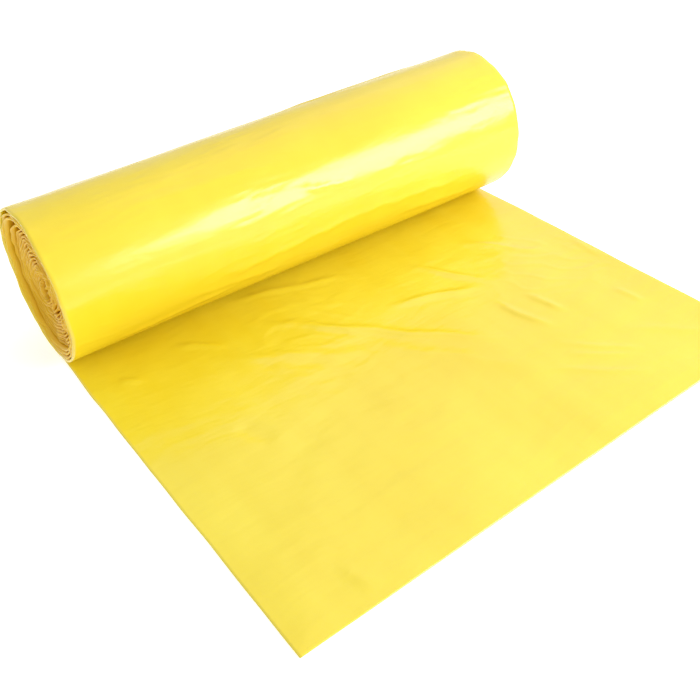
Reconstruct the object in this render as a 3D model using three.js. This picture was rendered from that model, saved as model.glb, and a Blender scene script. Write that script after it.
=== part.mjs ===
// A roll of polyethylene garbage bags that lies on a level surface, with the start of its first bag
// unrolled and laid flat in front of it.
//
// The bags are joined end to end by rows of perforations and wound without a core, so the roll has
// only the small hole that the winding mandrel left. Each bag is folded once, so the web is as wide
// as the roll is long. The roll is wound a little looser towards one end, which makes it thicker
// there. The web leaves the underside of the roll and runs forward, so the roll lies on its own film.
//
// Millimetres. X runs along the roll towards its thick end, +Y points from the laid bag to the back
// of the roll, and +Z is up. The origin is on the surface, at the middle of the object's footprint.

import * as THREE from "three";

// The web of folded bags.
const WEB_WIDTH = 300; // a bag 600 wide, folded once
const PLIES = 4; // a flat bag is two films, and the fold doubles them
const FILM_THICKNESS = 0.025;

// The roll.
const LEFT_DIAMETER = 83; // the tightly wound end, at -X
const RIGHT_DIAMETER = 89.5; // the loosely wound end, at +X
const BORE_DIAMETER = 16; // the hole that the mandrel left
const RIM_THICKNESS = 5; // the outer turns, which stand out past the turns inside them
const RIM_STAND_OUT = 2.5;
const TURN_BAND_WIDTH = 4; // the turns show on each end as bands of about this width
const TURN_BAND_STEP = 1; // every second band is drawn in by this much

// The laid length of the first bag.
const LAID_LENGTH = 228; // from the line where the roll stands on the film to the torn edge
const CONTACT_GAP = 0.3; // between the roll and the film that it lies on

// How finely the round surfaces are divided. A multiple of four puts a row of corners at the bottom.
const ROUND_STEPS = 72;

const webThickness = PLIES * FILM_THICKNESS;
const leftRadius = LEFT_DIAMETER / 2;
const rightRadius = RIGHT_DIAMETER / 2;
const boreRadius = BORE_DIAMETER / 2;

// A material of its own for each sub-part, in the film's yellow.
function filmMaterial(roughness) {
  return new THREE.MeshStandardMaterial({ color: 0xf7dc28, roughness, metalness: 0 });
}

// One end of the roll from the bore outwards, as points of a radius and a height along the axis:
// bands of turns, every second one drawn in, and then the rim that stands out past them.
function endProfile(outerRadius) {
  const rimHeight = WEB_WIDTH / 2;
  const rimInside = outerRadius - RIM_THICKNESS;
  const bandCount = Math.max(1, Math.round((rimInside - boreRadius) / TURN_BAND_WIDTH));
  const bandWidth = (rimInside - boreRadius) / bandCount;
  const points = [];
  for (let band = 0; band < bandCount; band += 1) {
    const height = rimHeight - RIM_STAND_OUT - (band % 2) * TURN_BAND_STEP;
    const inside = boreRadius + band * bandWidth;
    points.push(new THREE.Vector2(inside, height), new THREE.Vector2(inside + bandWidth, height));
  }
  points.push(new THREE.Vector2(rimInside, rimHeight), new THREE.Vector2(outerRadius, rimHeight));
  return points;
}

// The wound roll is one turned solid. Its section runs outwards across the left end, along the
// outside, inwards across the right end and back through the bore. A lathe turns it about Y.
function bagRoll() {
  const leftEnd = endProfile(leftRadius).map((point) => new THREE.Vector2(point.x, -point.y));
  const rightEnd = endProfile(rightRadius).reverse();
  const section = [...leftEnd, ...rightEnd, leftEnd[0].clone()];
  const roll = new THREE.Mesh(new THREE.LatheGeometry(section, ROUND_STEPS), filmMaterial(0.3));
  roll.name = "bag_roll";
  roll.rotation.z = -Math.PI / 2; // the lathe's axis, turned to lie along X
  return roll;
}

// The roll on its film: its axis rises towards the thick end, so that its whole underside is level.
function restingRoll() {
  const rise = Math.atan2(rightRadius - leftRadius, WEB_WIDTH);
  const middleRadius = (leftRadius + rightRadius) / 2;
  const placed = new THREE.Group();
  placed.add(bagRoll());
  placed.rotation.y = -rise;
  placed.position.z = webThickness + CONTACT_GAP + middleRadius * Math.cos(rise);
  return placed;
}

// The unrolled start of the first bag: a flat sheet of the web's full width. It is cut off under the
// roll, along the line that the roll stands on.
function leadingBag() {
  const outline = new THREE.Shape([
    new THREE.Vector2(-WEB_WIDTH / 2, -LAID_LENGTH),
    new THREE.Vector2(WEB_WIDTH / 2, -LAID_LENGTH),
    new THREE.Vector2(WEB_WIDTH / 2, 0),
    new THREE.Vector2(-WEB_WIDTH / 2, 0),
  ]);
  const geometry = new THREE.ExtrudeGeometry(outline, { depth: webThickness, bevelEnabled: false });
  const bag = new THREE.Mesh(geometry, filmMaterial(0.25));
  bag.name = "leading_bag";
  return bag;
}

const garbageBags = new THREE.Group();
garbageBags.add(restingRoll(), leadingBag());

// The pieces are placed from the line that the roll stands on. This puts the origin at the middle of
// the footprint.
garbageBags.updateMatrixWorld(true);
const footprint = new THREE.Box3().setFromObject(garbageBags, true).getCenter(new THREE.Vector3());
garbageBags.position.set(-footprint.x, -footprint.y, 0);

export default garbageBags;
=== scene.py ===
"""A roll of yellow garbage bags with the start of its first bag laid flat in front of it.

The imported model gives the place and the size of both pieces. This script dresses them: the roll
gets an outer turn of crinkled film, a spiral of turns at each end and a solid middle, and the laid
film gets its wrinkles. Everything is in metres, in the model's own frame.
"""

import logging
import math
from collections.abc import Callable
from dataclasses import dataclass
from enum import Enum
from functools import partial

import bmesh
import bpy
from mathutils import Matrix, Vector, noise

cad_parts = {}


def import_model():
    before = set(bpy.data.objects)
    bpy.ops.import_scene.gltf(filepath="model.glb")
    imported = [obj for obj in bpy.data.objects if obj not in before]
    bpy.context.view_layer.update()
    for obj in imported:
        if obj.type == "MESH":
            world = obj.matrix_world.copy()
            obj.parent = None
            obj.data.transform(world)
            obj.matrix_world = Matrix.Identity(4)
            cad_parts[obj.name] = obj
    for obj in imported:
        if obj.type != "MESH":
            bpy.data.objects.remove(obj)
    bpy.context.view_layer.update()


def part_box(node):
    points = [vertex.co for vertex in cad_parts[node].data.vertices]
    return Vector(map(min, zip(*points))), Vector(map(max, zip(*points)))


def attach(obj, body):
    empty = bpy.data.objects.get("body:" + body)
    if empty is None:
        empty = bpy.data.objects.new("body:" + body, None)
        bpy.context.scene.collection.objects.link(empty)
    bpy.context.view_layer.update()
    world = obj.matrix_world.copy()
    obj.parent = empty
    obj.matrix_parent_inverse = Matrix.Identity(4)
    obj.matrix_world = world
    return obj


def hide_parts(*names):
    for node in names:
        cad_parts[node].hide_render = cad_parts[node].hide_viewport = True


LOG = logging.getLogger("garbage_bags")
BODY = "root"
LEFT_DIAMETER = 0.083
FULL_TURN = 2.0 * math.pi
WHITE = (1.0, 1.0, 1.0, 1.0)
SEAM_DISTANCE = 1e-6
MIX_SHARE, MIX_FIRST, MIX_SECOND, MIX_RESULT = 0, 6, 7, 2
Sockets = dict[str, object]
Colour = tuple[float, float, float]


class Slot(Enum):
    """The record's material slots."""

    WOUND = "wound_film"
    LAID = "laid_film"


class Node(Enum):
    """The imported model's nodes."""

    ROLL = "bag_roll"
    LAID = "leading_bag"


class End(Enum):
    """The two ends of the roll, by the sign of their place along X."""

    LEFT = -1
    RIGHT = 1


def smooth_step(low: float, high: float, value: float) -> float:
    """Goes smoothly from 0 at low to 1 at high."""
    share = min(1.0, max(0.0, (value - low) / (high - low)))
    return share * share * (3.0 - 2.0 * share)


def ridge(value: float, sharpness: float = 4.0) -> float:
    """Turns noise between -1 and 1 into sharp creases: 1 on the crease, 0 far from it."""
    return max(0.0, 1.0 - abs(value) * sharpness)


def end_fade(share: float, past: float, full: float) -> float:
    """Fades a crease out at both of its ends.

    Args:
        share: The place along the crease, from 0 at its start to 1 at its end.
        past: How far past an end the crease still shows, as a share of its length.
        full: How far inside an end it has its full height, as a share of its length.

    Returns:
        1 along the crease's middle, falling to 0 past its ends.
    """
    return smooth_step(-past, full, share) * smooth_step(1.0 + past, 1.0 - full, share)


@dataclass(frozen=True)
class Unevenness:
    """Smooth noise between -1 and 1.

    Attributes:
        pace: How fast it changes along each of its three directions.
        shift: Where it is read, so that no two of them are alike.
    """

    pace: tuple[float, float, float]
    shift: tuple[float, float, float] = (0.0, 0.0, 0.0)

    def at(self, first: float, second: float, third: float = 0.0, layer: float = 0.0) -> float:
        """The noise at a place, in a layer of its own where one is given."""
        values = zip((first, second, third), self.pace, self.shift)
        spot = Vector([value * pace + shift for value, pace, shift in values])
        return noise.noise(spot + Vector((0.0, 0.0, layer)))

    def round_roll(self, along: float, angle: float) -> float:
        """The noise at a place along the roll and an angle round it."""
        return self.at(along, math.cos(angle), math.sin(angle))


@dataclass(frozen=True)
class Layout:
    """Where the roll and the laid film lie.

    Attributes:
        middle_x: The middle of the web's width.
        contact_y: The line along which the roll stands on its own film.
        web_top: The height of the laid film's upper side.
        half_width: Half of the web's width.
        laid_length: The length of film in front of the contact line.
        left_radius: The roll's radius at its left end.
        right_radius: The roll's radius at its right end.
    """

    middle_x: float
    contact_y: float
    web_top: float
    half_width: float
    laid_length: float
    left_radius: float
    right_radius: float

    @classmethod
    def from_frame(cls, left_diameter: float) -> "Layout":
        """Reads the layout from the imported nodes.

        Args:
            left_diameter: The roll's diameter at its thin end, which no box shows.

        Returns:
            The layout of the two pieces.
        """
        laid_low, laid_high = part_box(Node.LAID.value)
        roll_low, roll_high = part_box(Node.ROLL.value)
        return cls(
            middle_x=(laid_low[0] + laid_high[0]) / 2,
            contact_y=laid_high[1],
            web_top=laid_high[2],
            half_width=(laid_high[0] - laid_low[0]) / 2,
            laid_length=laid_high[1] - laid_low[1],
            left_radius=left_diameter / 2,
            right_radius=(roll_high[2] - roll_low[2]) / 2,
        )

    def radius(self, x: float) -> float:
        """The roll's radius at a distance x from the web's middle."""
        share = (x / self.half_width + 1) / 2
        return self.left_radius + (self.right_radius - self.left_radius) * share

    def on_roll(self, x: float, angle: float, radius: float) -> Vector:
        """A point of the roll.

        Args:
            x: The distance from the web's middle.
            angle: The angle round the roll from its lowest line, towards the laid film.
            radius: The distance from the roll's axis.

        Returns:
            The point in the row frame.
        """
        centre = self.web_top + self.radius(x)
        across = self.contact_y - radius * math.sin(angle)
        return Vector((self.middle_x + x, across, centre - radius * math.cos(angle)))


def film_object(name: str, mesh_maker: bmesh.types.BMesh, finish: bpy.types.Material) -> bpy.types.Object:
    """Turns built geometry into a smooth-shaded object with its finish.

    Args:
        name: The piece's name.
        mesh_maker: The finished geometry, which is freed here.
        finish: The piece's material.

    Returns:
        The linked object.
    """
    bmesh.ops.recalc_face_normals(mesh_maker, faces=mesh_maker.faces[:])
    mesh = bpy.data.meshes.new(name)
    mesh_maker.to_mesh(mesh)
    mesh_maker.free()
    mesh.shade_smooth()
    mesh.materials.append(finish)
    piece = bpy.data.objects.new(name, mesh)
    bpy.context.scene.collection.objects.link(piece)
    return piece


def bent_grid(columns: int, rows: int, place: Callable[[float, float], Vector]) -> bmesh.types.BMesh:
    """A flat grid whose corners are then moved into a shape.

    Args:
        columns: The number of cells along the first direction.
        rows: The number of cells along the second direction.
        place: Gives a corner's place from its two shares, each from 0 to 1.

    Returns:
        The open sheet.
    """
    maker = bmesh.new()
    bmesh.ops.create_grid(maker, x_segments=columns, y_segments=rows, size=0.5)
    for vert in maker.verts:
        vert.co = place(vert.co.x + 0.5, vert.co.y + 0.5)
    return maker


def thicken(maker: bmesh.types.BMesh, thickness: float) -> None:
    """Gives an open sheet a thickness, which closes it."""
    bmesh.ops.recalc_face_normals(maker, faces=maker.faces[:])
    parts = [*maker.verts, *maker.edges, *maker.faces]
    bmesh.ops.solidify(maker, geom=parts, thickness=thickness)


class NodeTools:
    """Short ways to add and link shader nodes in one node tree."""

    def __init__(self, tree: bpy.types.NodeTree) -> None:
        """Keeps the tree that the nodes are added to."""
        self.tree = tree

    def fill(self, socket: bpy.types.NodeSocket, value: object) -> None:
        """Links an input to an output socket, or sets its value."""
        if isinstance(value, bpy.types.NodeSocket):
            self.tree.links.new(value, socket)
        else:
            socket.default_value = value

    def add(self, kind: str, values: Sockets | None = None, **settings: object) -> bpy.types.Node:
        """Adds one node.

        Args:
            kind: The node's type.
            values: Socket values, or the output sockets that are linked to them.
            **settings: Settings of the node itself.

        Returns:
            The new node.
        """
        node = self.tree.nodes.new(kind)
        for name, value in settings.items():
            setattr(node, name, value)
        for name, value in (values or {}).items():
            self.fill(node.inputs[name], value)
        return node

    def maths(self, operation: str, *values: object, clamp: bool = False) -> bpy.types.NodeSocket:
        """Adds a sum, a product or the like.

        Args:
            operation: What is done with the values.
            *values: The numbers or output sockets, in the node's order.
            clamp: Whether the result stays between 0 and 1.

        Returns:
            The result's output socket.
        """
        node = self.add("ShaderNodeMath", operation=operation, use_clamp=clamp)
        for socket, value in zip(node.inputs, values):
            self.fill(socket, value)
        return node.outputs[0]

    def blend(self, share: object, first: object, second: object) -> bpy.types.NodeSocket:
        """Mixes two colours by a share and returns the result."""
        node = self.add("ShaderNodeMix", data_type="RGBA")
        for index, value in ((MIX_SHARE, share), (MIX_FIRST, first), (MIX_SECOND, second)):
            self.fill(node.inputs[index], value)
        return node.outputs[MIX_RESULT]

    def between(self, value: object, low: float, high: float) -> bpy.types.NodeSocket:
        """Goes from 0 at low to 1 at high and returns the output socket."""
        limits = {"Value": value, "From Min": low, "From Max": high}
        return self.add("ShaderNodeMapRange", limits).outputs["Result"]

    def unevenness(self, place: object, scale: float, detail: float) -> bpy.types.Node:
        """Adds a noise texture, read at a place."""
        return self.add("ShaderNodeTexNoise", {"Vector": place, "Scale": scale, "Detail": detail})


def new_group(name: str, inputs: dict[str, float], outputs: dict[str, str]) -> bpy.types.NodeTree:
    """A node group with named sockets.

    Args:
        name: The group's name.
        inputs: The names and the usual values of its number inputs.
        outputs: The names and the socket types of its outputs.

    Returns:
        The group's node tree, still empty.
    """
    tree = bpy.data.node_groups.new(name, "ShaderNodeTree")
    for label, value in inputs.items():
        socket = tree.interface.new_socket(label, in_out="INPUT", socket_type="NodeSocketFloat")
        socket.default_value = value
    for label, kind in outputs.items():
        tree.interface.new_socket(label, in_out="OUTPUT", socket_type=kind)
    return tree


@dataclass(frozen=True)
class FilmRelief:
    """The fine relief of stretched film: long soft creases, short sharp ones and a faint grain.

    Each scale is the number of features to a metre, before the stretch.

    Attributes:
        stretch: How fast the creases change along each direction. It is slower along the roll, which
            draws them out that way.
        slant: The angle of the creases to the roll, in radians.
        warp_scale: The scale at which the creases wander.
        warp: How far they wander.
        soft_scale: The scale of the soft creases.
        sharp_scale: The scale of the sharp creases.
        sharp_roughness: How much fine detail the sharp creases have.
        crests: Where a sharp crease starts and where it is full.
        patch_scale: The scale of the patches that have sharp creases.
        patches: Where such a patch starts and where it is full.
        grain_scale: The scale of the grain.
        grain: The height of the grain.
    """

    stretch: tuple[float, float, float] = (0.32, 1.0, 1.0)
    slant: float = 0.12
    warp_scale: float = 14.0
    warp: float = 0.02
    soft_scale: float = 55.0
    sharp_scale: float = 95.0
    sharp_roughness: float = 0.55
    crests: tuple[float, float] = (0.85, 1.5)
    patch_scale: float = 26.0
    patches: tuple[float, float] = (0.40, 0.75)
    grain_scale: float = 900.0
    grain: float = 0.02

    def build(self) -> bpy.types.NodeTree:
        """Builds the group.

        Returns:
            A group with the bumped normal and a mask of the sharp creases.
        """
        tree = new_group(
            "film_crinkle",
            {"Soft": 1.0, "Sharp": 1.0, "Depth": 0.001},
            {"Normal": "NodeSocketVector", "Creases": "NodeSocketFloat"},
        )
        tools = NodeTools(tree)
        given = tools.add("NodeGroupInput")
        place = tools.add("ShaderNodeTexCoord").outputs["Object"]
        wandering = self.wandering_place(tools, place)
        soft = tools.unevenness(wandering, self.soft_scale, 3.0)
        sharp = tools.unevenness(wandering, self.sharp_scale, 4.0)
        sharp.noise_type = "RIDGED_MULTIFRACTAL"
        sharp.inputs["Roughness"].default_value = self.sharp_roughness
        grain = tools.unevenness(place, self.grain_scale, 2.0)
        patches = tools.unevenness(place, self.patch_scale, 2.0)
        where = tools.between(patches.outputs["Fac"], *self.patches)
        creases = tools.maths("MULTIPLY", tools.between(sharp.outputs["Fac"], *self.crests), where)
        soft_part = tools.maths("MULTIPLY", soft.outputs["Fac"], given.outputs["Soft"])
        sharp_part = tools.maths("MULTIPLY", creases, given.outputs["Sharp"])
        grain_part = tools.maths("MULTIPLY", grain.outputs["Fac"], self.grain)
        height = tools.maths("ADD", tools.maths("ADD", soft_part, sharp_part), grain_part)
        bump = tools.add("ShaderNodeBump", {"Distance": given.outputs["Depth"], "Height": height})
        tools.add("NodeGroupOutput", {"Normal": bump.outputs["Normal"], "Creases": creases})
        return tree

    def wandering_place(self, tools: NodeTools, place: bpy.types.NodeSocket) -> bpy.types.NodeSocket:
        """Stretches the place along the roll and lets it wander.

        Args:
            tools: The group's node tools.
            place: The place on the piece.

        Returns:
            The place at which the creases are read.
        """
        turned = {"Vector": place, "Scale": self.stretch, "Rotation": (0.0, 0.0, self.slant)}
        stretched = tools.add("ShaderNodeMapping", turned).outputs["Vector"]
        warp = tools.unevenness(place, self.warp_scale, 2.0)
        wandering = tools.add("ShaderNodeVectorMath", operation="MULTIPLY_ADD")
        for socket, value in zip(wandering.inputs, (warp.outputs["Color"], (self.warp,) * 3, stretched)):
            tools.fill(socket, value)
        return wandering.outputs[0]


@dataclass(frozen=True)
class FilmTone:
    """The uneven density of blown film, as broad cloudy patches and narrow bands along the web.

    Attributes:
        cloud_scale: The scale of the patches, as a number to a metre.
        band_scale: The scale of the bands along the three directions.
        band_share: The strength of the bands beside that of the patches.
        mean: The mean of both together.
        usual: The density where both are at their mean.
    """

    cloud_scale: float = 9.0
    band_scale: tuple[float, float, float] = (60.0, 1.5, 1.5)
    band_share: float = 0.35
    mean: float = 0.675
    usual: float = 0.5

    def build(self) -> bpy.types.NodeTree:
        """Builds the group.

        Returns:
            A group whose output goes from 0, thin and pale, to 1, dense and deep.
        """
        tree = new_group("film_tone", {"Amount": 0.5}, {"Density": "NodeSocketFloat"})
        tools = NodeTools(tree)
        given = tools.add("NodeGroupInput")
        place = tools.add("ShaderNodeTexCoord").outputs["Object"]
        clouds = tools.unevenness(place, self.cloud_scale, 3.0)
        across = tools.add("ShaderNodeMapping", {"Vector": place, "Scale": self.band_scale})
        bands = tools.unevenness(across.outputs["Vector"], 1.0, 2.0)
        band_part = tools.maths("MULTIPLY", bands.outputs["Fac"], self.band_share)
        both = tools.maths("ADD", clouds.outputs["Fac"], band_part)
        centred = tools.maths("SUBTRACT", both, self.mean)
        density = tools.maths("MULTIPLY_ADD", centred, given.outputs["Amount"], self.usual, clamp=True)
        tools.add("NodeGroupOutput", {"Density": density})
        return tree


@dataclass(frozen=True)
class FilmFinish:
    """Glossy, slightly cloudy polyethylene film.

    Attributes:
        name: The material's name.
        pale: The colour where the film is thin.
        deep: The colour where the film is dense.
        crease: The colour of the sharp creases.
        crease_share: How strongly that colour shows.
        roughness: The roughness between the creases.
        crease_roughness: How much rougher the creases are.
        depth: The depth of the crinkles in metres.
        soft: The share of the soft crinkles.
        sharp: The share of the sharp crinkles.
        amount: How uneven the density is.
        specular: The strength of the gloss, where 0.5 is that of a plain plastic.
        glow: How much of the light spreads through the film.
        shade_fade_from: Where the painted shade between the turns starts to fade, as a distance from the
            web's middle; nearer the middle it is full. 0 leaves it out.
        shade_fade_to: Where the painted shade has faded and the film's own colour is full.
        inner: The colour of the painted shade deep between the turns, a darker orange that stands for the
            shade in the gaps between them.
        spread: How far red, green and blue light spread in the film, beside each other.
        spread_distance: How far the light spreads, in metres.
        ior: The film's refractive index.
    """

    name: str
    pale: Colour
    deep: Colour
    crease: Colour
    crease_share: float = 0.2
    roughness: float = 0.3
    crease_roughness: float = 0.12
    depth: float = 0.0012
    soft: float = 0.6
    sharp: float = 0.5
    amount: float = 1.2
    specular: float = 0.5
    glow: float = 0.15
    # Painted shade between the turns: these three fields darken the colour deep between them.
    shade_fade_from: float = 0.0
    shade_fade_to: float = 0.0
    inner: Colour = (0.62, 0.30, 0.01)
    spread: Colour = (1.0, 0.8, 0.05)
    spread_distance: float = 0.008
    ior: float = 1.52

    def build(self, crinkle: bpy.types.NodeTree, tone: bpy.types.NodeTree) -> bpy.types.Material:
        """Builds the material.

        Args:
            crinkle: The group of the film's fine relief.
            tone: The group of the film's uneven density.

        Returns:
            The finished material.
        """
        material = bpy.data.materials.new(self.name)
        material.use_nodes = True
        tree = material.node_tree
        tree.nodes.clear()
        tools = NodeTools(tree)
        relief = tools.add("ShaderNodeGroup", node_tree=crinkle)
        relief.inputs["Depth"].default_value = self.depth
        relief.inputs["Soft"].default_value = self.soft
        relief.inputs["Sharp"].default_value = self.sharp
        density = tools.add("ShaderNodeGroup", node_tree=tone)
        density.inputs["Amount"].default_value = self.amount
        colour = tools.blend(density.outputs["Density"], (*self.pale, 1.0), (*self.deep, 1.0))
        creases = tools.maths("MULTIPLY", relief.outputs["Creases"], self.crease_share)
        colour = tools.blend(creases, colour, (*self.crease, 1.0))
        # Only a finish with a fade depth set gets painted shade between the turns.
        if self.shade_fade_to > 0.0:
            colour = self.painted_turn_shade(tools, colour)
        worn = relief.outputs["Creases"]
        rough = tools.maths("MULTIPLY_ADD", worn, self.crease_roughness, self.roughness)
        shader = tools.add(
            "ShaderNodeBsdfPrincipled",
            {
                "Base Color": colour,
                "Roughness": rough,
                "Normal": relief.outputs["Normal"],
                "IOR": self.ior,
                "Specular IOR Level": self.specular,
                "Subsurface Weight": self.glow,
                "Subsurface Radius": self.spread,
                "Subsurface Scale": self.spread_distance,
            },
        )
        tools.add("ShaderNodeOutputMaterial", {"Surface": shader.outputs[0]})
        return material

    def painted_turn_shade(self, tools: NodeTools, colour: bpy.types.NodeSocket) -> bpy.types.NodeSocket:
        """Paints shade between the turns: deep below the end's face the colour goes over to a darker orange,
        and the film keeps its own colour at the turns' edges.

        Args:
            tools: The material's node tools.
            colour: The film's own colour.

        Returns:
            The colour with the painted shade mixed in.
        """
        place = tools.add("ShaderNodeTexCoord").outputs["Object"]
        along = tools.add("ShaderNodeSeparateXYZ", {"Vector": place}).outputs["X"]
        # Painted shade: deep between the turns the colour goes over to the darker orange, which stands for
        # the shade in the gaps.
        share = tools.between(tools.maths("ABSOLUTE", along), self.shade_fade_from, self.shade_fade_to)
        return tools.blend(share, (*self.inner, 1.0), colour)


CREASE_LINE = Unevenness((60.0, 1.0, 0.0))
SKIN_BROAD = Unevenness((16.0, 1.6, 1.6), (0.0, 3.0, 0.0))
SKIN_MIDDLE = Unevenness((34.0, 4.2, 4.2), (9.0, 0.0, 5.0))
SKIN_FINE = Unevenness((26.0, 11.0, 11.0), (0.0, 2.0, 0.0))
SKIN_PATCHES = Unevenness((14.0, 2.0, 2.0), (0.0, 0.0, 8.0))
RIM_BROAD = Unevenness((2.2, 2.2, 5.0))
RIM_MIDDLE = Unevenness((4.4, 4.4, 10.0))
RIM_FINE = Unevenness((6.6, 6.6, 15.0))
TURN_WAVE = Unevenness((1.8, 1.8, 3.0))
TURN_STRAY = Unevenness((1.8, 1.8, 3.0), (0.0, 5.0, 0.0))
TURN_CRUMPLE = Unevenness((4.5, 4.5, 9.0))
TURN_WOBBLE = Unevenness((4.5, 4.5, 9.0), (0.0, 0.0, 4.0))


@dataclass(frozen=True)
class Crease:
    """One long crease of the roll's outer turn.

    Attributes:
        along: Where it starts and ends, as distances from the web's middle.
        angle: The angles round the roll where it starts and ends, in degrees.
        height: How far it stands out.
        width: Its half width.
    """

    along: tuple[float, float]
    angle: tuple[float, float]
    height: float
    width: float

    def rise(self, x: float, angle: float, radius: float, wander: float) -> float:
        """The crease's height at a place of the roll.

        Args:
            x: The distance from the web's middle.
            angle: The angle round the roll, in degrees.
            radius: The roll's radius there.
            wander: How far the crease strays from a straight line.

        Returns:
            The height in metres.
        """
        start, end = self.along
        share = (x - start) / (end - start)
        fade = end_fade(share, 0.15, 0.2)
        if fade == 0.0:
            return 0.0
        line = self.angle[0] + (self.angle[1] - self.angle[0]) * share
        apart = math.radians(angle - line) * radius + wander * CREASE_LINE.at(x, line)
        return self.height * fade * math.exp(-((apart / self.width) ** 2))


@dataclass
class WoundRoll:
    """The roll: its outer turn, the spiral of turns at each end and the solid middle.

    Attributes:
        layout: Where the roll lies.
        skin_thickness: The thickness of the outer turns, which are one shell.
        swell: The height of the broad waves of the outer turn.
        ripple: The height of its small creases.
        crease_wander: How far its long creases stray from straight lines.
        rim_wave: How far the rim strays from a flat cut and from a true circle.
        rim_from: Where the rim starts, as a share of the way from the middle to the end.
        sink: How far the outer turn lies inside the roll's full radius, so that its waves fit.
        turns: The number of turns that show on an end.
        turn_thickness: The thickness of one shown turn.
        turn_depth: How deep the spiral reaches into the end.
        bore_radius: The radius of the hole in the middle.
        turn_inset: How much further than the outer turns the inner ones lie behind the rim.
        turn_wave: How far the turns stray from true circles.
        turn_crumple: The height of the small folds of the turns.
        edge_wobble: How far a turn's edge strays over a short distance.
        edge_stray: How far it strays over a long distance.
        edge_inset: How far every turn lies behind the rim, and the least that one may.
        wave_apart: How far apart the two ends read their waves, so that they differ.
        inner_turns: Where the sunken inner turns end and the outer ones start, as shares of the way
            from the bore to the outer turn.
        shrink: How much smaller the inner turns are wound.
        collapse: How far the innermost turns are squeezed flat.
        collapse_reach: How far out they are squeezed, as a share of the way to the outer turn.
        collapse_angle: The direction in which they are squeezed, in radians.
        skin_gap: The gap between the outer turn and the outermost turn of the spiral.
        sag: How far the inner turns have sunk, which opens a gap above them.
        middle_depth: How deep the solid middle lies, as a share of the spiral's depth.
        middle_gap: The gap between the outer turn and the solid middle.
        middle_sag: How far the solid middle has sunk, as a share of the inner turns' sag.
        columns_around: The number of the outer turn's cells round the roll.
        rows_along: The number of its cells along the roll.
        steps_per_turn: The number of cells of one turn of the spiral.
        rows_deep: The number of the spiral's cells from its edge to its bottom.
        middle_steps: The number of the solid middle's cells round the roll.
        creases: The long creases of the outer turn.
    """

    layout: Layout
    skin_thickness: float = 0.0011
    swell: float = 0.0004
    ripple: float = 0.00025
    crease_wander: float = 0.0015
    rim_wave: float = 0.0006
    rim_from: float = 0.93
    sink: float = 0.0004
    turns: int = 17
    turn_thickness: float = 0.0007
    turn_depth: float = 0.016
    bore_radius: float = 0.0065
    turn_inset: float = 0.0040
    turn_wave: float = 0.0010
    turn_crumple: float = 0.0005
    edge_wobble: float = 0.0014
    edge_stray: float = 0.0016
    edge_inset: tuple[float, float] = (0.0006, 0.0004)
    wave_apart: float = 7.0
    inner_turns: tuple[float, float] = (0.80, 0.92)
    shrink: float = 0.045
    collapse: float = 0.30
    collapse_reach: float = 0.35
    collapse_angle: float = 0.8
    skin_gap: float = 0.0010
    sag: float = 0.0022
    middle_depth: float = 0.75
    middle_gap: float = 0.0012
    middle_sag: float = 0.25
    columns_around: int = 200
    rows_along: int = 170
    steps_per_turn: int = 84
    rows_deep: int = 6
    middle_steps: int = 96
    creases: tuple[Crease, ...] = (
        Crease((-0.010, 0.020), (118.0, 112.0), 0.0007, 0.0016),
        Crease((-0.060, 0.018), (76.0, 83.0), 0.0008, 0.0020),
        Crease((-0.085, -0.030), (70.0, 62.0), 0.0006, 0.0024),
        Crease((0.020, 0.095), (84.0, 78.0), 0.0006, 0.0022),
        Crease((-0.120, -0.060), (52.0, 60.0), 0.0007, 0.0022),
        Crease((0.060, 0.120), (66.0, 58.0), 0.0006, 0.0026),
        Crease((-0.100, -0.020), (150.0, 144.0), 0.0004, 0.0026),
        Crease((0.010, 0.110), (200.0, 208.0), 0.0006, 0.0026),
        Crease((-0.120, -0.020), (238.0, 230.0), 0.0007, 0.0024),
    )

    def lifted(self, angle: float, full: float) -> float:
        """Goes from 0 at the roll's lowest line, where it lies flat, to 1 further round."""
        return smooth_step(0.05, full, 1.0 - math.cos(angle))

    def skin_height(self, x: float, angle: float) -> float:
        """How far the outer turn stands out at a distance x from the middle and at an angle."""
        patch = smooth_step(0.0, 0.4, SKIN_PATCHES.round_roll(x, angle))
        height = self.swell * SKIN_BROAD.round_roll(x, angle)
        height += 0.5 * self.swell * SKIN_MIDDLE.round_roll(x, angle)
        height += self.ripple * patch * ridge(SKIN_FINE.round_roll(x, angle))
        turned = math.degrees(angle) % 360.0
        radius = self.layout.radius(x)
        height += sum(crease.rise(x, turned, radius, self.crease_wander) for crease in self.creases)
        return height * self.lifted(angle, 0.45)

    def skin_place(self, around: float, along: float) -> Vector:
        """A point of the outer turn from its shares round and along the roll."""
        angle = FULL_TURN * around
        side = 2.0 * along - 1.0
        spot = (math.cos(angle), math.sin(angle), side)
        rim = self.rim_wave * smooth_step(self.rim_from, 1.0, abs(side))
        x = side * (self.layout.half_width + rim * (RIM_BROAD.at(*spot) + 0.6 * (RIM_FINE.at(*spot) - 1.0)))
        radius = self.layout.radius(x) + self.skin_height(x, angle)
        radius += rim * RIM_MIDDLE.at(*spot) * self.lifted(angle, 0.6)
        return self.layout.on_roll(x, angle, radius - self.sink)

    def build_skin(self, finish: bpy.types.Material) -> bpy.types.Object:
        """The outer turn, as a crinkled shell that is open at both ends."""
        maker = bent_grid(self.columns_around, self.rows_along, self.skin_place)
        bmesh.ops.remove_doubles(maker, verts=maker.verts[:], dist=SEAM_DISTANCE)
        thicken(maker, self.skin_thickness)
        return film_object("outer_turn", maker, finish)

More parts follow.
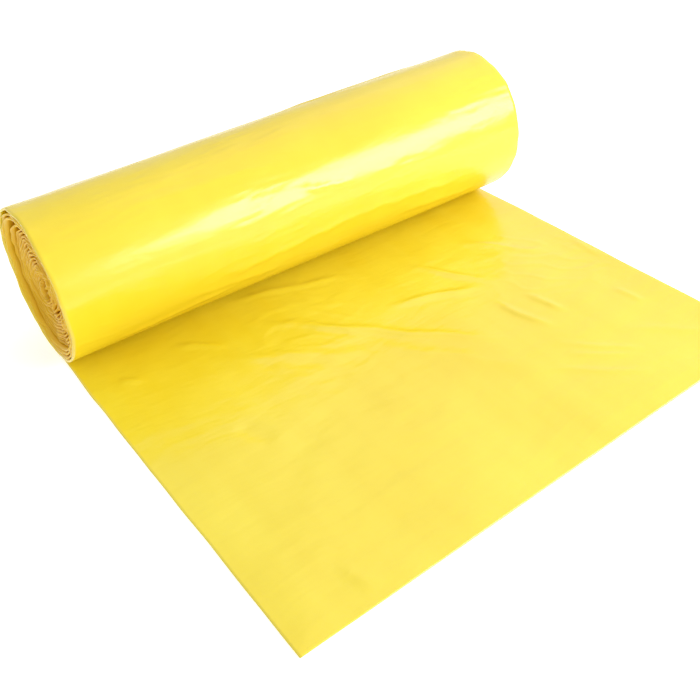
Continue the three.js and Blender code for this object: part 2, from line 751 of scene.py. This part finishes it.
    def turn_place(self, end: End, share: float, deep: float) -> Vector:
        """A point of an end's spiral.

        Args:
            end: The end that it is on.
            share: How far out along the spiral, from 0 at the bore to 1 at the skin.
            deep: From 0 at the turns' edges to 1 at the bottom of the spiral.

        Returns:
            The point in the row frame.
        """
        layout = self.layout
        angle = FULL_TURN * self.turns * share * end.value
        outer = layout.radius(end.value * layout.half_width) - self.skin_thickness - self.skin_gap
        inner_share = 1.0 - smooth_step(*self.inner_turns, share)
        spot = (math.cos(angle), math.sin(angle), share)
        layer = self.wave_apart * end.value
        radius = self.bore_radius + (outer - self.bore_radius) * share
        radius += self.turn_wave * inner_share * TURN_WAVE.at(*spot, layer) * (1.0 - 0.5 * deep)
        radius += self.turn_crumple * inner_share * TURN_CRUMPLE.at(*spot, end.value)
        radius *= 1.0 - self.shrink * inner_share
        collapse = self.collapse * smooth_step(self.collapse_reach, 0.0, share)
        radius *= 1.0 + collapse * math.cos(2.0 * angle + self.collapse_angle)
        wobble = self.edge_wobble * TURN_WOBBLE.at(*spot, end.value)
        inset = (self.turn_inset + self.edge_stray * TURN_STRAY.at(*spot, layer)) * inner_share
        usual_inset, least_inset = self.edge_inset
        edge = max(least_inset, inset + wobble + usual_inset)
        point = layout.on_roll(end.value * (layout.half_width - edge - deep * self.turn_depth), angle, radius)
        point.z -= self.sag * inner_share
        return point

    def build_turns(self, end: End, finish: bpy.types.Material) -> bpy.types.Object:
        """The spiral of turns that shows on one end."""
        steps = self.turns * self.steps_per_turn
        maker = bent_grid(steps, self.rows_deep, partial(self.turn_place, end))
        thicken(maker, self.turn_thickness)
        return film_object(f"turns_{end.name.lower()}", maker, finish)

    def build_middle(self, finish: bpy.types.Material) -> bpy.types.Object:
        """The wound turns behind the two spirals, as one body with the bore through it."""
        layout = self.layout
        reach = layout.half_width - self.turn_depth * self.middle_depth
        section = []
        for side in (-1.0, 1.0):
            outer = layout.radius(side * reach) - self.skin_thickness - self.middle_gap
            radii = (self.bore_radius, outer) if side < 0 else (outer, self.bore_radius)
            section += [(side * reach, radius) for radius in radii]
        maker = bmesh.new()
        ring = [maker.verts.new((x, 0.0, radius)) for x, radius in section]
        edges = [maker.edges.new((ring[index], ring[index - 1])) for index in range(len(ring))]
        bmesh.ops.spin(
            maker,
            geom=[*ring, *edges],
            cent=(0.0, 0.0, 0.0),
            axis=(1.0, 0.0, 0.0),
            angle=FULL_TURN,
            steps=self.middle_steps,
            use_merge=True,
        )
        for vert in maker.verts:
            x, radius = vert.co.x, math.hypot(vert.co.y, vert.co.z)
            vert.co = layout.on_roll(x, math.atan2(-vert.co.y, -vert.co.z), radius)
            vert.co.z -= self.sag * self.middle_sag
        return film_object("wound_middle", maker, finish)

    def build(self, skin: bpy.types.Material, turns: bpy.types.Material) -> list[bpy.types.Object]:
        """Builds and dresses the whole roll.

        Args:
            skin: The finish of the outer turn.
            turns: The finish of the turns at the ends.

        Returns:
            The roll's pieces.
        """
        outer = self.build_skin(skin)
        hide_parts(Node.ROLL.value)
        pieces = [outer, self.build_middle(turns)]
        pieces += [self.build_turns(end, turns) for end in End]
        for piece in pieces:
            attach(piece, BODY)
        return pieces


FILM_BROAD = Unevenness((17.0, 21.0, 0.0), (2.0, 0.0, 1.0))
FILM_MIDDLE = Unevenness((42.0, 52.0, 0.0), (0.0, 0.0, 6.0))
FILM_FINE = Unevenness((62.0, 68.0, 0.0), (0.0, 0.0, 11.0))
FILM_PATCHES = Unevenness((13.0, 13.0, 0.0), (0.0, 0.0, 21.0))
FILM_EDGE = Unevenness((40.0, 3.0, 0.0))
WRINKLE_BENDS, WRINKLE_SHIFT, WRINKLE_SWING = 160.0, 90.0, 0.25


@dataclass(frozen=True)
class Wrinkle:
    """One wrinkle of the laid film, in metres from the middle of the contact line.

    Attributes:
        start: Where it starts, along the roll and towards the front.
        end: Where it ends.
        height: Its height. A dent has a height below 0.
        width: Its half width.
    """

    start: tuple[float, float]
    end: tuple[float, float]
    height: float
    width: float

    def rise(self, x: float, front: float) -> float:
        """The wrinkle's height at a place of the film."""
        run_x, run_y = self.end[0] - self.start[0], self.end[1] - self.start[1]
        length = math.hypot(run_x, run_y)
        along = ((x - self.start[0]) * run_x + (front - self.start[1]) * run_y) / length
        fade = end_fade(along / length, 0.25, 0.3)
        if fade == 0.0:
            return 0.0
        apart = ((x - self.start[0]) * run_y - (front - self.start[1]) * run_x) / length
        bend = math.sin(along * WRINKLE_BENDS + self.start[0] * WRINKLE_SHIFT)
        apart += WRINKLE_SWING * self.width * bend
        return self.height * fade * math.exp(-((apart / self.width) ** 2))


@dataclass
class LaidFilm:
    """The unrolled start of the first bag, with the wrinkles that it keeps from the roll.

    Attributes:
        layout: Where the film lies.
        thickness: The film's thickness.
        swell: The height of the broad waves.
        ripple: The height of the small creases.
        middle_share: The height of the middling waves beside that of the broad ones.
        slants: How much the middling waves and the small creases slant, as a shift along the roll
            for each step to the front.
        calm: How much smaller the small creases are in the front part.
        calm_from: Where that part starts and where it is fully calm, in metres from the roll.
        calm_slant: How much further forward it starts towards the right.
        edge_flat: The share of the height that is left at an edge.
        edge_reach: How far from an edge the film has its full height.
        wedge_share: How much of the room under the roll the film may fill.
        edge_wave: How far the side edges stray from straight.
        edge_bias: How far they draw in on the whole, as a share of that.
        tuck: How far the side edges draw in where the roll stands on them.
        tuck_reach: Where the tuck ends and where it is full, in metres from the roll.
        columns: The number of cells along the roll.
        rows: The number of cells from the roll to the front.
        wrinkles: The wrinkles that are placed one by one.
    """

    layout: Layout
    thickness: float = 0.0003
    swell: float = 0.0007
    ripple: float = 0.0003
    middle_share: float = 0.35
    slants: tuple[float, float] = (18.0 / 42.0, -44.0 / 62.0)
    calm: float = 0.7
    calm_from: tuple[float, float] = (0.08, 0.16)
    calm_slant: float = 0.4
    edge_flat: float = 0.35
    edge_reach: float = 0.012
    wedge_share: float = 0.35
    edge_wave: float = 0.0004
    edge_bias: float = 0.7
    tuck: float = 0.0012
    tuck_reach: tuple[float, float] = (0.05, 0.01)
    columns: int = 230
    rows: int = 175
    wrinkles: tuple[Wrinkle, ...] = (
        Wrinkle((-0.048, 0.022), (0.009, 0.041), 0.00099, 0.0028),
        Wrinkle((-0.048, 0.053), (0.033, 0.134), 0.00105, 0.0030),
        Wrinkle((0.019, 0.084), (0.060, 0.098), 0.00118, 0.0026),
        Wrinkle((0.051, 0.064), (0.071, 0.095), 0.00118, 0.0024),
        Wrinkle((0.062, 0.120), (0.068, 0.148), 0.00118, 0.0026),
        Wrinkle((0.082, 0.124), (0.084, 0.144), 0.00105, 0.0024),
        Wrinkle((0.065, 0.168), (0.088, 0.192), 0.00063, 0.0021),
        Wrinkle((0.060, 0.175), (0.082, 0.193), 0.00059, 0.0020),
        Wrinkle((0.045, 0.178), (0.075, 0.205), 0.00059, 0.0024),
        Wrinkle((0.147, 0.100), (0.145, 0.121), 0.00093, 0.0024),
        Wrinkle((0.123, 0.151), (0.126, 0.166), 0.00059, 0.0024),
        Wrinkle((-0.104, 0.113), (-0.097, 0.128), -0.00074, 0.0050),
        Wrinkle((-0.041, 0.155), (-0.026, 0.167), -0.00050, 0.0063),
        Wrinkle((-0.113, 0.207), (-0.110, 0.222), 0.00046, 0.0037),
        Wrinkle((-0.133, 0.045), (-0.125, 0.051), 0.00081, 0.0022),
        Wrinkle((-0.096, 0.039), (-0.079, 0.052), 0.00093, 0.0025),
        Wrinkle((-0.080, 0.066), (-0.030, 0.100), 0.00068, 0.0037),
        Wrinkle((0.090, 0.060), (0.120, 0.095), 0.00081, 0.0030),
        Wrinkle((-0.010, 0.110), (0.030, 0.160), 0.00056, 0.0042),
        Wrinkle((0.100, 0.180), (0.130, 0.205), 0.00042, 0.0032),
    )

    def rise(self, x: float, front: float) -> float:
        """The height of the film's underside above the ground."""
        middle_slant, fine_slant = self.slants
        middle = FILM_MIDDLE.at(x + front * middle_slant, front)
        fine = ridge(FILM_FINE.at(x + front * fine_slant, front))
        patch = smooth_step(-0.05, 0.35, FILM_PATCHES.at(x, front))
        calm = 1.0 - self.calm * smooth_step(*self.calm_from, front - self.calm_slant * x)
        height = self.swell * (0.5 + FILM_BROAD.at(x, front) + self.middle_share * middle)
        height += self.ripple * patch * calm * fine
        height += sum(wrinkle.rise(x, front) for wrinkle in self.wrinkles)
        near_edge = min(self.layout.half_width - abs(x), self.layout.laid_length - front)
        height *= self.edge_flat + (1.0 - self.edge_flat) * smooth_step(0.0, self.edge_reach, near_edge)
        room = front * front / (2.0 * self.layout.left_radius)
        return min(max(height, 0.0), self.wedge_share * room)

    def place(self, across: float, forward: float) -> Vector:
        """A point of the film's underside from its shares along the roll and towards the front."""
        layout = self.layout
        side = 2.0 * across - 1.0
        front = layout.laid_length * forward
        stray = self.edge_wave * (FILM_EDGE.at(front, side) - self.edge_bias)
        stray *= smooth_step(0.0, self.tuck_reach[0], front)
        tuck = self.tuck * smooth_step(*self.tuck_reach, front)
        x = side * (layout.half_width + abs(side) ** 3 * (stray - tuck))
        return Vector((layout.middle_x + x, layout.contact_y - front, self.rise(x, front)))

    def build(self, finish: bpy.types.Material) -> bpy.types.Object:
        maker = bent_grid(self.columns, self.rows, self.place)
        top = bmesh.ops.duplicate(maker, geom=maker.faces[:])
        raised = [part for part in top["geom"] if isinstance(part, bmesh.types.BMVert)]
        bmesh.ops.translate(maker, vec=(0.0, 0.0, self.thickness), verts=raised)
        rims = [edge for edge in maker.edges if edge.is_boundary]
        bmesh.ops.bridge_loops(maker, edges=rims)
        piece = film_object("laid_bag", maker, finish)
        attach(piece, BODY)
        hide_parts(Node.LAID.value)
        return piece


@dataclass(frozen=True)
class Viewpoint:
    """The camera, at the photograph's angle.

    Attributes:
        place: The camera's place from the middle of the contact line, in metres.
        azimuth: The direction of view from +Y towards -X, in degrees.
        elevation: The angle above the horizon, in degrees.
        roll: The turn of the picture, in degrees.
        focal_pixels: The focal length in pixels of the picture.
        picture: The picture's width in pixels.
        sensor: The sensor's width in millimetres.
        nearest: The nearest distance that shows, in metres.
    """

    place: tuple[float, float, float] = (-0.2310, -0.3749, 0.2775)
    azimuth: float = -36.38
    elevation: float = 38.92
    roll: float = 1.83
    focal_pixels: float = 838.5
    picture: float = 700.0
    sensor: float = 36.0
    nearest: float = 0.01

    def build(self, layout: Layout) -> None:
        """Adds the camera and makes it the scene's own."""
        azimuth, elevation = math.radians(self.azimuth), math.radians(self.elevation)
        level = math.cos(elevation)
        forward = Vector((-math.sin(azimuth) * level, math.cos(azimuth) * level, -math.sin(elevation)))
        right = forward.cross(Vector((0.0, 0.0, 1.0))).normalized()
        down = forward.cross(right)
        cosine, sine = math.cos(math.radians(self.roll)), math.sin(math.radians(self.roll))
        right, down = cosine * right + sine * down, cosine * down - sine * right
        data = bpy.data.cameras.new("camera")
        data.sensor_width = self.sensor
        data.lens = self.sensor * self.focal_pixels / self.picture
        data.clip_start = self.nearest
        camera = bpy.data.objects.new("camera", data)
        turn = Matrix((right, -down, -forward)).transposed().to_4x4()
        centre = Vector((layout.middle_x, layout.contact_y, 0.0))
        camera.matrix_world = Matrix.Translation(centre + Vector(self.place)) @ turn
        bpy.context.scene.collection.objects.link(camera)
        bpy.context.scene.camera = camera


@dataclass(frozen=True)
class Softbox:
    """One soft light that points at the object.

    Attributes:
        name: The light's name.
        direction: The direction from the object to the light.
        distance: The distance from the object.
        size: The light's width and height.
        power: The light's power in watts.
        shape: The outline of the light.
    """

    name: str
    direction: tuple[float, float, float]
    distance: float
    size: tuple[float, float]
    power: float
    shape: str = "ELLIPSE"

    def build(self, target: Vector) -> None:
        """Adds the light, aimed at the target."""
        data = bpy.data.lights.new(self.name, "AREA")
        data.shape = self.shape
        data.size, data.size_y = self.size
        data.energy = self.power
        light = bpy.data.objects.new(self.name, data)
        towards = Vector(self.direction).normalized()
        light.location = target + towards * self.distance
        light.rotation_euler = towards.to_track_quat("Z", "Y").to_euler()
        bpy.context.scene.collection.objects.link(light)


@dataclass(frozen=True)
class Studio:
    """The white floor, the pale surroundings and the lights.

    Attributes:
        floor_size: The side of the floor.
        floor_light: The light that the floor gives by itself, which keeps it white.
        floor_white: The share of the light that the floor throws back.
        floor_roughness: The floor's roughness.
        floor_gloss: The strength of its gloss.
        floor_drop: How far the floor lies under the model.
        surround: The strength of the light from all round.
        softboxes: The lights.
    """

    floor_size: float = 8.0
    floor_light: float = 0.4
    floor_white: float = 0.95
    floor_roughness: float = 0.9
    floor_gloss: float = 0.1
    floor_drop: float = 0.0002
    surround: float = 0.84
    softboxes: tuple[Softbox, ...] = (
        Softbox("front_softbox", (0.54, -0.75, 0.40), 0.95, (0.85, 0.46), 7.0),
        Softbox("top_softbox", (0.9, 0.2, 0.8), 2.2, (3.0, 3.0), 7.0),
    )

    def build_floor(self) -> None:
        """Adds the white floor."""
        maker = bmesh.new()
        bmesh.ops.create_grid(maker, x_segments=1, y_segments=1, size=self.floor_size / 2)
        white = bpy.data.materials.new("floor_white")
        white.use_nodes = True
        shader = white.node_tree.nodes["Principled BSDF"]
        shader.inputs["Base Color"].default_value = (*[self.floor_white] * 3, 1.0)
        shader.inputs["Roughness"].default_value = self.floor_roughness
        shader.inputs["Specular IOR Level"].default_value = self.floor_gloss
        shader.inputs["Emission Color"].default_value = WHITE
        shader.inputs["Emission Strength"].default_value = self.floor_light
        floor = film_object("floor", maker, white)
        floor.location.z = -self.floor_drop

    def build(self, target: Vector) -> None:
        """Adds the floor, the surroundings and the lights, which are aimed at the target."""
        self.build_floor()
        world = bpy.data.worlds.new("surround")
        world.use_nodes = True
        background = world.node_tree.nodes["Background"]
        background.inputs["Color"].default_value = WHITE
        background.inputs["Strength"].default_value = self.surround
        bpy.context.scene.world = world
        for softbox in self.softboxes:
            softbox.build(target)
        bpy.context.scene.view_settings.view_transform = "Standard"


@dataclass(frozen=True)
class FilmFinishes:
    """The three finishes of the film: on the roll, on its ends and on the laid film.

    Attributes:
        layout: Where the roll lies.
        shade_full_depth: How deep between the turns, below the end's face, the painted shade is full.
        shade_start_depth: How deep below a turn's edge the painted shade starts; above that the film keeps
            its own colour.
    """

    layout: Layout
    # Painted shade between the turns fades in over these depths below the end's face.
    shade_full_depth: float = 0.010
    shade_start_depth: float = 0.0015

    def wound(self) -> FilmFinish:
        """The tight, glossy film of the roll's outer turn."""
        return FilmFinish(
            name="wound_film",
            pale=(0.86, 0.67, 0.022),
            deep=(0.79, 0.55, 0.010),
            crease=(0.92, 0.74, 0.07),
            roughness=0.26,
            depth=0.0008,
            soft=1.0,
            specular=0.75,
        )

    def turns(self) -> FilmFinish:
        """The film at the ends, with painted shade that deepens its colour between the turns."""
        return FilmFinish(
            name="turn_edges_painted_shade",
            pale=(0.86, 0.57, 0.016),
            deep=(0.80, 0.46, 0.006),
            crease=(0.90, 0.66, 0.05),
            roughness=0.42,
            depth=0.0004,
            specular=0.3,
            shade_fade_from=self.layout.half_width - self.shade_full_depth,
            shade_fade_to=self.layout.half_width - self.shade_start_depth,
            # Painted shade: a darker orange deep between the turns, where shade falls in the gaps.
            inner=(0.66, 0.30, 0.005),
        )

    def laid(self) -> FilmFinish:
        """The paler, cloudier film that lies flat."""
        return FilmFinish(
            name="laid_film",
            pale=(0.82, 0.67, 0.044),
            deep=(0.75, 0.55, 0.012),
            crease=(0.90, 0.76, 0.09),
            roughness=0.24,
            depth=0.0013,
            soft=0.9,
            sharp=0.4,
            amount=1.8,
            specular=0.85,
        )


def main() -> None:
    """Loads the frame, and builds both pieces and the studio."""
    logging.basicConfig(level=logging.INFO, format="%(message)s")
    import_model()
    layout = Layout.from_frame(left_diameter=LEFT_DIAMETER)
    relief, tone = FilmRelief().build(), FilmTone().build()
    finishes = FilmFinishes(layout)
    wound = finishes.wound().build(relief, tone)
    turns = finishes.turns().build(relief, tone)
    pieces = WoundRoll(layout).build(wound, turns)
    pieces.append(LaidFilm(layout).build(finishes.laid().build(relief, tone)))
    for piece in pieces:
        LOG.info("%s: %d faces", piece.name, len(piece.data.polygons))
    Viewpoint().build(layout)
    Studio().build(Vector((layout.middle_x, layout.contact_y, layout.right_radius)))


if __name__ == "__main__":
    main()
